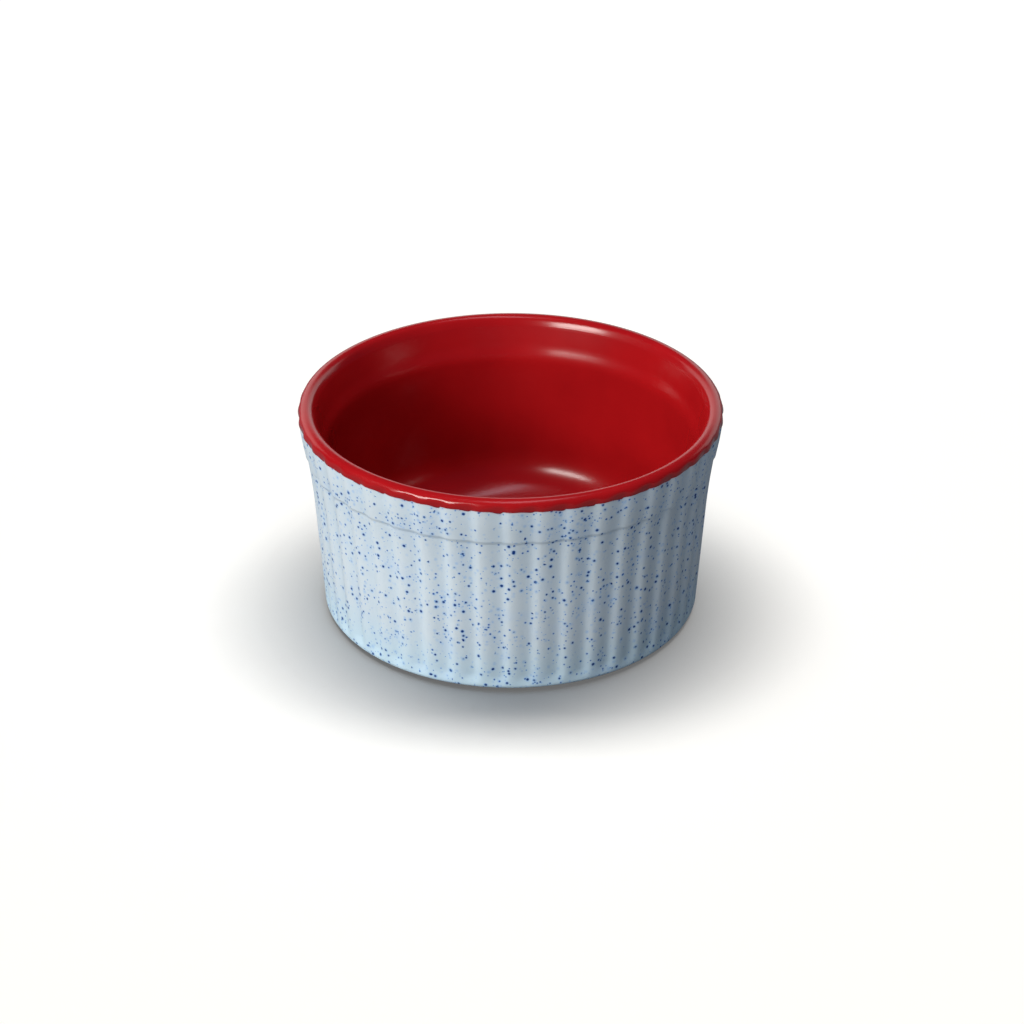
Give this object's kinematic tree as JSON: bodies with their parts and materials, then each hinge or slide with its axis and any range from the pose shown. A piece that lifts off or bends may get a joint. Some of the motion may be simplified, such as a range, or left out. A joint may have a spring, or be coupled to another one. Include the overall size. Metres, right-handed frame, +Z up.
{
  "type": "ramekin",
  "caption": "Round straight-sided ramekin with a flared band, vertical flutes outside, a rounded red lip and liner, a pale speckled outside and a bare foot ring.",
  "frame": {"origin": "centre of the foot ring, on the surface that the ramekin stands on", "axes": "+Z up along the axis of the round body, -Y towards the viewer of the picture"},
  "size_m": [0.092, 0.092, 0.048],
  "materials": {
    "fired_clay": "bare fired stoneware, fine matt grain",
    "red_glaze": "thick gloss glaze, cherry red",
    "speckled_glaze": "satin-gloss pale blue-grey glaze with cobalt specks"
  },
  "bodies": {
    "root": {"stoneware_body": "fired_clay", "red_liner_glaze": "red_glaze", "speckled_wall_glaze": "speckled_glaze", "base_glaze": "speckled_glaze"}
  },
  "joints": []
}
